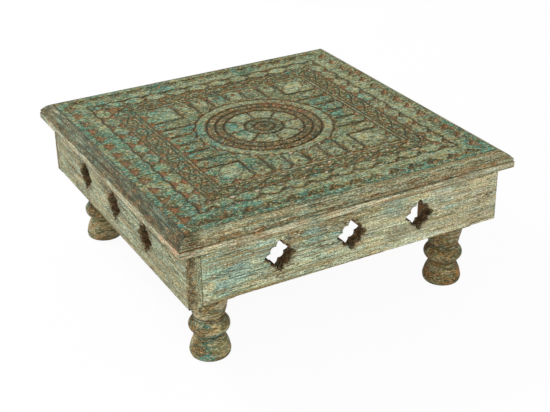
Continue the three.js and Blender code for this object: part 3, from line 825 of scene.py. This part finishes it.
def worn_board(board, seed):
    """Points of a board that is a little bowed, uneven, and nicked at its arrises."""
    x, deep, z = board.points.T
    bow = 0.22 * noise(x, z, 55, seed) + 0.08 * noise(x * 0.15, z, 3.4, seed + 1)
    nick = held(noise(x, z, 6.5, seed + 2) - 0.3) * board.arris * 1.3
    inward = np.where(deep < board.thickness / 2, 1, -1)
    depth = deep + inward * (board_sunk + bow * (board.to_edge > 0.2) + 0.4 * nick)
    at_edge = 0.5 * nick * (board.to_edge < 1.5)
    return np.stack([x - np.sign(x - board.middle[0]) * at_edge, board.low[1] + depth,
                     z - np.sign(z - board.middle[2]) * at_edge], 1)


def apron_wear(board):
    """Wear along the arrises, but not where two boards meet at a corner."""
    x = board.x
    wear = held(0.9 * board.arris * (1 - board.hole) + 0.55 * np.exp(-board.to_edge / 1.8))
    wear = wear * smoothstep(board.low[0] + 1, board.low[0] + 4, x)
    wear = wear * (1 - (x > board.high[0] - 2) * (board.deep > 0.6 * board.thickness))
    return held(wear + 0.5 * board.arris * board.hole)


def end_grain_stains(board, seed):
    """Dark places and specks on the end grain that shows at a corner."""
    deep, z, grain = board.deep, board.z, board.end_grain
    below = board.high[2] - z
    inward = deep / board.thickness + 0.15 * noise(deep, z, 9.0, seed + 5)
    under_rim = smoothstep(2, 4, below) * smoothstep(14, 9, below)
    dark = grain * np.maximum(smoothstep(0.5, 0.25, inward), 0.8 * under_rim)
    return dark, grain * (1 - dark) * smoothstep(-0.05, 0.35, noise(deep, z, 3.2, seed + 9))


def apron_dirt_and_shade(board, side, seed, dark, specks):
    """Dirt and painted shade in the piercings, a painted shadow under the rim, dirt on the end grain and
    where the next board meets it, painted shade over the left apron, and a darker back face.
    """
    x, deep, z = board.points.T
    plain = 1 - board.end_grain
    mottled = 0.6 + 0.7 * noise(deep, z, 4.0, seed + 8)
    # dirt and painted shade on the piercing walls and round them
    dirt = 0.6 * board.wall * (1 + 0.9 * noise(x + z, deep, 4.0, seed + 6)) + 0.25 * board.around
    # a painted shadow along the top of the board, under the rim
    dirt = dirt + 0.75 * np.exp(-(board.high[2] - z) / 3.0) + 0.95 * dark * mottled + 0.5 * specks
    dirt = dirt + 0.7 * np.exp(-(board.high[0] - x) / 1.2) * plain
    # painted shade darkening the whole left apron
    dirt = dirt + (0.14 + 0.2 * noise(x * 0.3, z, 2.2, seed + 7)) * (side == "left") * plain
    return held(dirt + 0.3 * board.back)


def apron_tones(board, side, seed):
    """Teal, pale and tan masks, which differ from side to side as the photo shows."""
    x, z = board.x, board.z
    blotch = noise(x, z, 42, seed + 3)
    patches = smoothstep(0.15, 0.75, noise(x * 0.55, z, 26, seed + 4) + 0.15)
    spotted = spots(x, z, apron_teal_places.get(side, ()))
    if side == "front":
        at_right = smoothstep(0, 160, x)
        return spotted, held(0.4 + 0.4 * blotch + 0.3 * at_right), 0.8 * at_right
    if side == "left":
        return np.maximum(0.1 * patches, spotted), 0.1 + 0.15 * blotch, 0 * x
    return 0.5 * patches, 0.4 + 0.4 * blotch, 0.3 + 0.3 * blotch


def apron_masks(board, side, seed):
    dark, specks = end_grain_stains(board, seed)
    browned = spots(board.x, board.z, apron_brown_places.get(side, ())) * (board.deep < board_round)
    brown = 0.5 * board.wall + 0.35 * board.around + 0.4 * dark + 0.5 * browned + 0.55 * board.back
    teal, pale, tan = apron_tones(board, side, seed)
    bright = held(tan * (1 - board.wall) * (1 - board.end_grain))
    return dict(wear=apron_wear(board), dirt=apron_dirt_and_shade(board, side, seed, dark, specks),
                brown=held(brown), teal=teal, pale=pale, bright=bright)


def make_aprons(material):
    board = Board(*in_mm(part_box("apron_front")))
    for quarter, side in enumerate(side_names):
        seed = 70 + 10 * quarter
        points = worn_board(board, seed)
        grain = points + (900.0 * quarter, 130.0 * quarter, 0)
        make_piece(f"pierced_apron_{side}", turned_about(points, quarter), board.faces,
                   apron_masks(board, side, seed), grain, material, f"apron_{side}")


# Legs

def leg_outline():
    """(radius, height) up the turned leg: foot, bead, collar and neck, in shares."""
    bead_side = (2 - (leg_waist[0] + leg_bead_top[0]) / 2, (leg_waist[1] + leg_bead_top[1]) / 2)
    collar_foot = (leg_collar[0] - leg_collar_round, leg_collar[1] - leg_collar_half)
    collar_head = (leg_collar[0] - leg_collar_round, leg_collar[1] + leg_collar_half)
    return np.concatenate([
        [leg_sole], curve(leg_sole, (leg_swell[0], leg_sole[1]), leg_swell, 6),
        curve(leg_swell, leg_shoulder, leg_waist, 10), curve(leg_waist, bead_side, leg_bead_top, 18),
        [collar_foot, leg_collar, collar_head, leg_neck_foot],
        curve(leg_neck_foot, leg_neck_middle, leg_neck_top, 10)])


def leg_rows(half, head_bottom, top):
    """(squareness, reach, height) up a leg, from its sole to the top of its square head."""
    rows = [(0.0, radius * leg_turned_radius, height * head_bottom) for radius, height in leg_outline()]
    inset = head_edge_round
    rows += [(0.1, leg_neck_top[0] * leg_turned_radius + 0.2, head_bottom),
             (1.0, half - inset, head_bottom), (1.0, half - 0.4 * inset, head_bottom + 0.25 * inset),
             (1.0, half, head_bottom + inset)]
    rows += [(1.0, half, height) for height in np.linspace(head_bottom + 4, top - 1, head_rows)]
    return np.array(rows + [(1.0, half, top)])


def leg_skin(rows):
    """Points of a leg about its own axis, and the wear and the dirt with painted shade that follow its
    shape.
    """
    square, radius, height = np.repeat(rows, leg_segments, axis=0).T
    padded = np.pad(rows[:, 1], 1, mode="edge")
    hollow = np.repeat((padded[2:] + padded[:-2]) / 2 - rows[:, 1], leg_segments)
    turn = np.tile(2 * math.pi * np.arange(leg_segments) / leg_segments, len(rows))
    c, s = np.cos(turn), np.sin(turn)
    box = 1 / (np.abs(c) ** head_squareness + np.abs(s) ** head_squareness) ** (1 / head_squareness)
    reach = radius * ((1 - square) + square * box)
    wear = held(-hollow * 0.35) * (1 - square) + square * smoothstep(1.28, 1.40, box)
    # dirt and painted shade in the hollows of the turning
    dirt = held(hollow * 0.9) * (1 - square)
    return np.stack([reach * c, reach * s, height], 1), wear, dirt


def leg_faces(rows):
    top = numbered((rows - 1) * leg_segments, leg_segments)
    return grid_faces(rows, leg_segments, closed=True) + [tuple(range(leg_segments - 1, -1, -1)), tuple(top)]


def leg_sink(angle, z, head_bottom, ring_noise, seed):
    """How far the turned part is worn in, with a few dents."""
    dents = held(noise(angle * 15 + 40, z, 7, seed + 1) - 0.45)
    return between(z, 0.2, head_bottom - 1) * (held(0.25 + 0.25 * ring_noise) + 0.9 * dents)


def leg_masks(corner, angle, z, head_bottom, ring_noise, wear, dirt, seed):
    browner, darker = leg_moods[corner]
    bare = smoothstep(head_bottom + 2, head_bottom + 8, z)
    brown = smoothstep(0.0, 0.8, noise(angle * 16, z, 14, seed + 2) + 0.1)
    teal = smoothstep(0.1, 0.6, noise(angle * 14, z, 16, seed + 3)) * 0.8
    if corner == "front_left":
        teal = np.maximum(teal, np.exp(-((angle + 2.3) / 0.7) ** 2) * (0.75 - 0.25 * (z > 30)))
    pale = smoothstep(0.0, 0.9, noise(angle * 14, z, 18, seed + 4))
    # dark rings at the creases of the turning: painted shade with dirt
    rings = sum(np.exp(-((z - share * head_bottom) / 1.1) ** 2) for share in leg_dark_rings)
    # darker towards the very foot
    grime_and_shade = dirt + 0.5 * np.exp(-z / 3.0) + darker * (0.7 + 0.6 * ring_noise)
    grime_and_shade = grime_and_shade + 0.7 * rings * (1 + 0.4 * ring_noise)
    return dict(wear=wear, dirt=held(grime_and_shade * (1 - bare)), pale=0.6 * pale,
                brown=held(0.5 * brown + browner + bare), teal=teal * (1 - bare) * (browner < 0.1))


def make_legs(material):
    apron_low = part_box("apron_front")[0][2] / MM
    head_bottom = apron_low - leg_head_drop
    for quarter, corner in enumerate(corner_names):
        low, high = in_mm(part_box(f"leg_{corner}"))
        seed = 200 + 10 * quarter
        rows = leg_rows((high[0] - low[0]) / 2, head_bottom, high[2])
        points, wear, dirt = leg_skin(rows)
        x, y, z = points.T
        angle = np.arctan2(y, x)
        ring_noise = noise(angle * 12, z, 9, seed)
        scale = 1 - leg_sink(angle, z, head_bottom, ring_noise, seed) / np.hypot(x, y)
        middle = (low + high) / 2
        points = np.stack([x * scale + middle[0], y * scale + middle[1], z], 1)
        masks = leg_masks(corner, angle, z, head_bottom, ring_noise, wear, dirt, seed)
        grain = points[:, (0, 2, 1)] * (0.5, 1, 0.5)
        make_piece(f"turned_leg_{corner}", points, leg_faces(len(rows)), masks, grain, material,
                   f"leg_{corner}")


# Materials

def srgb(red, green, blue):
    """A colour given in 0 to 255 as the eye sees it, for a shader."""
    def linear(value):
        share = value / 255
        return share / 12.92 if share <= 0.04045 else ((share + 0.055) / 1.055) ** 2.4
    return (linear(red), linear(green), linear(blue), 1.0)


class Nodes:
    """A short way to write a node tree."""

    def __init__(self, owner, output="ShaderNodeOutputMaterial"):
        owner.use_nodes = True
        self.owner, self.tree = owner, owner.node_tree
        self.tree.nodes.clear()
        self.output = self.tree.nodes.new(output)

    def add(self, kind, inputs=None, **settings):
        node = self.tree.nodes.new(kind)
        for key, value in settings.items():
            setattr(node, key, value)
        for key, value in (inputs or {}).items():
            self.feed(node.inputs[key], value)
        return node

    def feed(self, socket, value):
        if isinstance(value, bpy.types.NodeSocket):
            self.tree.links.new(value, socket)
        else:
            socket.default_value = value

    def field(self, name):
        return self.add("ShaderNodeAttribute", attribute_name=name).outputs["Fac"]

    def noise(self, place, detail, rough=0.5, distortion=0.0):
        return self.add("ShaderNodeTexNoise", {
            "Vector": place, "Scale": 1.0, "Detail": detail, "Roughness": rough,
            "Distortion": distortion}).outputs[0]

    def mapped(self, place, scale, shift=(0, 0, 0)):
        return self.add("ShaderNodeMapping", {0: place, 1: shift, 3: scale}).outputs[0]

    def math(self, operation, a, b=0.0, c=0.0):
        return self.add("ShaderNodeMath", {0: a, 1: b, 2: c}, operation=operation).outputs[0]

    def times(self, a, b):
        return self.math("MULTIPLY", a, b)

    def total(self, *terms, start=0.0):
        """start and every value times its weight, from (value, weight) terms."""
        for value, weight in terms:
            start = self.math("MULTIPLY_ADD", value, weight, start)
        return start

    def ramp(self, value, low, high, out_low=0.0, out_high=1.0):
        return self.add("ShaderNodeMapRange", {0: value, 1: low, 2: high, 3: out_low, 4: out_high},
                        interpolation_type="SMOOTHSTEP").outputs[0]

    def above(self, value, level, width=0.03):
        return self.ramp(value, level - width, level + width)

    def mix(self, share, a, b, blend="MIX"):
        return self.add("ShaderNodeMix", {0: share, 6: a, 7: b}, data_type="RGBA", blend_type=blend,
                        clamp_result=False).outputs[2]

    def bump(self, strength, distance, height):
        return self.add("ShaderNodeBump", {
            "Strength": strength, "Distance": distance, "Height": height}).outputs[0]

    def finish(self, inputs):
        """The material, with one plain shader that takes those inputs."""
        self.feed(self.output.inputs[0], self.add("ShaderNodeBsdfPrincipled", inputs).outputs[0])
        return self.owner


class PaintNodes(Nodes):
    """The nodes of one paint: its coats and amounts, the masks of a mesh, and the noises shared."""

    def __init__(self, name, coats, amounts):
        super().__init__(bpy.data.materials.new(name))
        self.coats = {key: srgb(*colour) for key, colour in coats.items()}
        self.amounts = amounts
        self.grain = self.add("ShaderNodeAttribute", attribute_name="grain").outputs["Vector"]
        self.wear, self.dirt, self.brown, self.teal, self.pale, self.bright = map(self.field, mask_names)
        self.streak = self.noise(self.mapped(self.grain, (12, 290, 290)), 5.0, 0.62)
        self.fibre = self.noise(self.mapped(self.grain, (42, 1250, 1250), (3, 1, 7)), 3.0, 0.6)
        self.cloud, self.drift = self.flecks(42, 2), self.flecks(15, 5)
        self.flake, self.patchy = self.flecks(4.4, 8, 5.0, 0.64), self.flecks(9.0, 9, 5.0)
        self.grit = self.flecks(1.3, 1, 2.0, stretch=min(amounts["stretch"], 1.8))

    def feed(self, socket, value):
        """The name of a coat stands for its colour."""
        super().feed(socket, self.coats[value] if isinstance(value, str) else value)

    def flecks(self, size, seed, detail=4.0, rough=0.6, stretch=None):
        """Noise whose grains are that many millimetres across, and longer along the wood."""
        across = 1 / (size * MM)
        scale = (across / (stretch or self.amounts["stretch"]), across, across)
        return self.noise(self.mapped(self.grain, scale, (seed, 2 * seed, 3 * seed)), detail, rough, 0.2)


def bare_wood(n):
    wood = n.mix(n.ramp(n.streak, 0.38, 0.62), "wood_dark", "wood_light")
    wood = n.mix(n.ramp(n.fibre, 0.35, 0.7, 0.0, 0.6), wood, "wood_dark")
    warm = n.total((n.wear, 0.12), start=n.flake)
    return n.mix(n.above(warm, 0.54, 0.06), wood, "wood_warm")


def top_coat(n):
    """The last coat: two greens, pale places, warm and dark bands, and patches of teal."""
    amounts = n.amounts
    top = n.mix(n.above(n.cloud, 0.5, 0.1), "top_a", "top_b")
    top = n.mix(n.times(n.pale, n.ramp(n.flake, 0.36, 0.56, 0.2, 1.0)), top, "top_pale")
    band = n.flecks(6.0, 41, 4.0, 0.55, stretch=1.5 * amounts["stretch"])
    band = n.total((n.bright, 0.05), start=band)
    top = n.mix(n.times(n.above(band, 0.565, 0.035), amounts["bands"]), top, "band_warm")
    top = n.mix(n.times(n.ramp(band, 0.40, 0.47, 1.0, 0.0), amounts["bands"]), top, "band_dark")
    zone = n.total((n.teal, 0.45), (n.drift, 0.5), (n.flake, 0.8), (n.streak, 0.4))
    patch = n.mix(n.above(n.patchy, 0.5, 0.07), "patch", "patch_deep")
    return n.mix(n.times(n.above(zone, amounts["patch"], 0.09), amounts["patch_force"]), top, patch)


def rubbed_off(n):
    """Where the top coat is gone, and where the coat under it is gone as well."""
    rub = n.total((n.fibre, 0.26), (n.streak, 0.42), (n.flake, 0.46), (n.patchy, 0.24), (n.grit, 0.14),
                  (n.pale, -0.05), (n.wear, 0.16), (n.brown, 0.22))
    rub_under = n.total((n.patchy, 0.5), (n.streak, 0.4), (n.fibre, 0.3), (n.wear, 0.16), (n.brown, 0.2))
    return n.above(rub, n.amounts["top"]), n.above(rub_under, n.amounts["under"])


def speckled(n, colour):
    """Specks in five colours, then long thin lines in two."""
    amounts, stretch = n.amounts, n.amounts["stretch"]
    long = 1 + 0.35 * (stretch - 1)
    force = n.times(n.ramp(n.pale, 0.3, 1.0, 1.0, 0.6), amounts["force"])
    for key, seed, guide, pull, size, length in (
            ("green", 13, n.cloud, -0.2, 1.0, long), ("patch_deep", 17, n.teal, 0.1, 1.0, 1),
            ("wood_warm", 19, n.brown, 0.05, 0.9, long), ("top_pale", 23, n.pale, 0.06, 0.7, 1),
            ("wood_dark", 29, n.wear, -0.05, 0.65, long)):
        specks = n.flecks(size * amounts["fleck"], seed, 3.0, stretch=length * stretch)
        level = n.total((guide, pull), start=specks)
        colour = n.mix(n.times(n.above(level, amounts[key], 0.014), force), colour, key)
    for size, seed, level, key in ((1.5, 31, 0.6, "wood_dark"), (2.6, 37, 0.56, "line_warm")):
        line = n.flecks(size, seed, 3.0, 0.5, stretch=60)
        colour = n.mix(n.times(n.above(line, level, 0.05), amounts["lines"]), colour, key)
    return colour


def stained(n, colour):
    """Raw wood, dirt with painted shade, painted highlights and pale bare places, then a drifting tint and
    fine grit over all.
    """
    amounts = n.amounts
    raw = n.times(n.ramp(n.brown, 0.55, 0.9), n.ramp(n.flake, 0.38, 0.66, 1.0, 0.3))
    colour = n.mix(n.times(raw, 0.85), colour, "raw")
    # dirt and painted shade, weaker where the flakes run high
    grime_and_shade = n.times(n.dirt, n.ramp(n.flake, 0.36, 0.6, 1.0, amounts["grime_and_shade"]))
    colour = n.mix(n.times(grime_and_shade, 0.9), colour, "dirt")
    # painted highlights on the top's chips, and pale bare or tan patches on the rims and aprons
    catch = n.times(n.bright, n.above(n.flake, 0.5, 0.05))
    colour = n.mix(n.times(catch, amounts["catch"]), colour, "bright")
    cool, warm = ((*tint, 1.0) for tint in amounts["tints"])
    tint = n.mix(n.above(n.flecks(5.5, 47, 3.0, 0.55), 0.5, 0.07), cool, warm)
    colour = n.mix(1.0, colour, tint, "MULTIPLY")
    dust = n.ramp(n.grit, 0.34, 0.66, 1 - amounts["grit"], 1 + 0.75 * amounts["grit"])
    return n.mix(1.0, colour, dust, "MULTIPLY")


def worn_paint(name, coats, amounts):
    """Layers of old paint rubbed down to the wood and flecked in several colours.

    coats holds the colours. amounts holds the noise level above which a coat or a layer shows
    (top, under, patch and the coats' names), how strong layers are from 0 to 1, how many times
    longer than wide the flecks are (stretch), their size (fleck), and two tints to drift between.
    """
    amounts = shared_amounts | amounts
    n = PaintNodes(name, shared_coats | coats, amounts)
    gone, gone_under = rubbed_off(n)
    under = n.mix(n.above(n.drift, 0.5, 0.08), "under_a", "under_b")
    colour = n.mix(gone, top_coat(n), n.mix(gone_under, under, bare_wood(n)))
    thickness = n.total((gone, -0.5), (gone_under, -0.35), (n.streak, 0.5), (n.grit, 0.3))
    return n.finish({
        "Base Color": stained(n, speckled(n, colour)), "Roughness": n.total((gone, 0.12), start=0.58),
        "Normal": n.bump(amounts["relief"], 0.0006, thickness), "Specular IOR Level": 0.18})


def plain_wood(name, dark, light):
    """Bare sawn wood in object coordinates, with the grain along Y."""
    n = Nodes(bpy.data.materials.new(name))
    place = n.add("ShaderNodeTexCoord").outputs["Object"]
    broad = n.noise(n.mapped(place, (120, 6, 120)), 4.0, 0.6)
    fine = n.noise(n.mapped(place, (900, 30, 900)), 3.0, 0.6)
    colour = n.mix(n.ramp(broad, 0.35, 0.65), srgb(*dark), srgb(*light))
    colour = n.mix(n.ramp(fine, 0.45, 0.75, 0.0, 0.6), colour, srgb(*dark))
    return n.finish({"Base Color": colour, "Roughness": 0.82, "Normal": n.bump(0.5, 0.0004, fine),
                     "Specular IOR Level": 0.3})


def screw_metal():
    n = Nodes(bpy.data.materials.new("screw_metal"))
    place = n.add("ShaderNodeTexCoord").outputs["Object"]
    blotch = n.noise(n.mapped(place, (400, 400, 400)), 4.0)
    colour = n.mix(n.ramp(blotch, 0.4, 0.65), srgb(150, 148, 140), srgb(96, 84, 70))
    roughness = n.ramp(blotch, 0.3, 0.7, 0.35, 0.6)
    return n.finish({"Base Color": colour, "Roughness": roughness, "Metallic": 1.0})


def dress_hidden_nodes():
    """Materials for the battens, screws and dowels, which keep their CAD shapes."""
    batten_wood = plain_wood("sawn_wood", (104, 78, 52), (150, 118, 80))
    dowel_wood = plain_wood("dowel_wood", (150, 118, 80), (196, 164, 120))
    metal = screw_metal()
    for name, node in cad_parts.items():
        chosen = {"batten": batten_wood, "screw": metal}.get(name.split("_")[0])
        if "dowel" in name:
            chosen = dowel_wood
        if chosen is not None:
            node.data.materials.clear()
            node.data.materials.append(chosen)


# Stage

def make_floor():
    size = 6.0
    corners = [(-size, -size, 0), (size, -size, 0), (size, size, 0), (-size, size, 0)]
    mesh = bpy.data.meshes.new("floor")
    mesh.from_pydata(corners, [], [(0, 1, 2, 3)])
    n = Nodes(bpy.data.materials.new("floor_white"))
    ray = n.add("ShaderNodeLightPath").outputs
    seen = n.math("MAXIMUM", ray["Is Camera Ray"], ray["Is Glossy Ray"])
    lit = n.add("ShaderNodeBsdfDiffuse", {"Color": (0.8, 0.8, 0.8, 1)}).outputs[0]
    glow = n.add("ShaderNodeEmission", {"Color": (1, 1, 1, 1), "Strength": 1.0}).outputs[0]
    mixed = n.add("ShaderNodeMixShader", {0: n.times(seen, floor_glow), 1: lit, 2: glow}).outputs[0]
    n.feed(n.output.inputs[0], mixed)
    mesh.materials.append(n.owner)
    floor = bpy.data.objects.new("floor", mesh)
    bpy.context.scene.collection.objects.link(floor)


def make_world():
    """A plain studio: white to the camera, and a softer light on the table."""
    world = bpy.data.worlds.new("studio")
    bpy.context.scene.world = world
    n = Nodes(world, "ShaderNodeOutputWorld")
    seen = n.add("ShaderNodeLightPath").outputs["Is Camera Ray"]
    strength = n.add("ShaderNodeMix", {0: seen, 2: studio_light, 3: 1.0}).outputs[0]
    white = n.add("ShaderNodeBackground", {0: (1, 1, 1, 1), 1: strength}).outputs[0]
    n.feed(n.output.inputs[0], white)


def add_area_light(name, place, aim, size, energy):
    light = bpy.data.lights.new(name, "AREA")
    light.shape = "DISK"
    light.size = size
    light.energy = energy
    lamp = bpy.data.objects.new(name, light)
    lamp.location = place
    lamp.rotation_euler = (Vector(aim) - Vector(place)).to_track_quat("-Z", "Y").to_euler()
    bpy.context.scene.collection.objects.link(lamp)


def make_lights():
    add_area_light("key", (-0.9, 1.6, 1.9), (0, 0, 0.15), 0.9, 44)
    add_area_light("fill", (-0.9, -1.8, 0.9), (0, 0, 0.1), 1.2, 15)


def make_camera():
    data = bpy.data.cameras.new("camera")
    data.lens = camera_lens
    data.sensor_width = 36.0
    roll, pitch, yaw = (Matrix.Rotation(math.radians(turn), 3, axis) for axis, turn in camera_turns.items())
    right, forward, up = roll @ pitch @ yaw
    axes = Matrix((right, up, -forward)).transposed().to_4x4()
    camera = bpy.data.objects.new("camera", data)
    camera.matrix_world = Matrix.Translation(camera_place) @ axes
    bpy.context.scene.collection.objects.link(camera)
    bpy.context.scene.camera = camera


make_camera()
make_lights()
make_world()
make_floor()
make_panel(worn_paint("worn_panel_paint", panel_coats, panel_amounts))
make_rims(worn_paint("worn_rim_paint", rim_coats, rim_amounts))
make_aprons(worn_paint("worn_apron_paint", apron_coats, apron_amounts))
make_legs(worn_paint("worn_leg_paint", leg_coats, leg_amounts))
dress_hidden_nodes()
bpy.context.scene.view_settings.view_transform = "Standard"
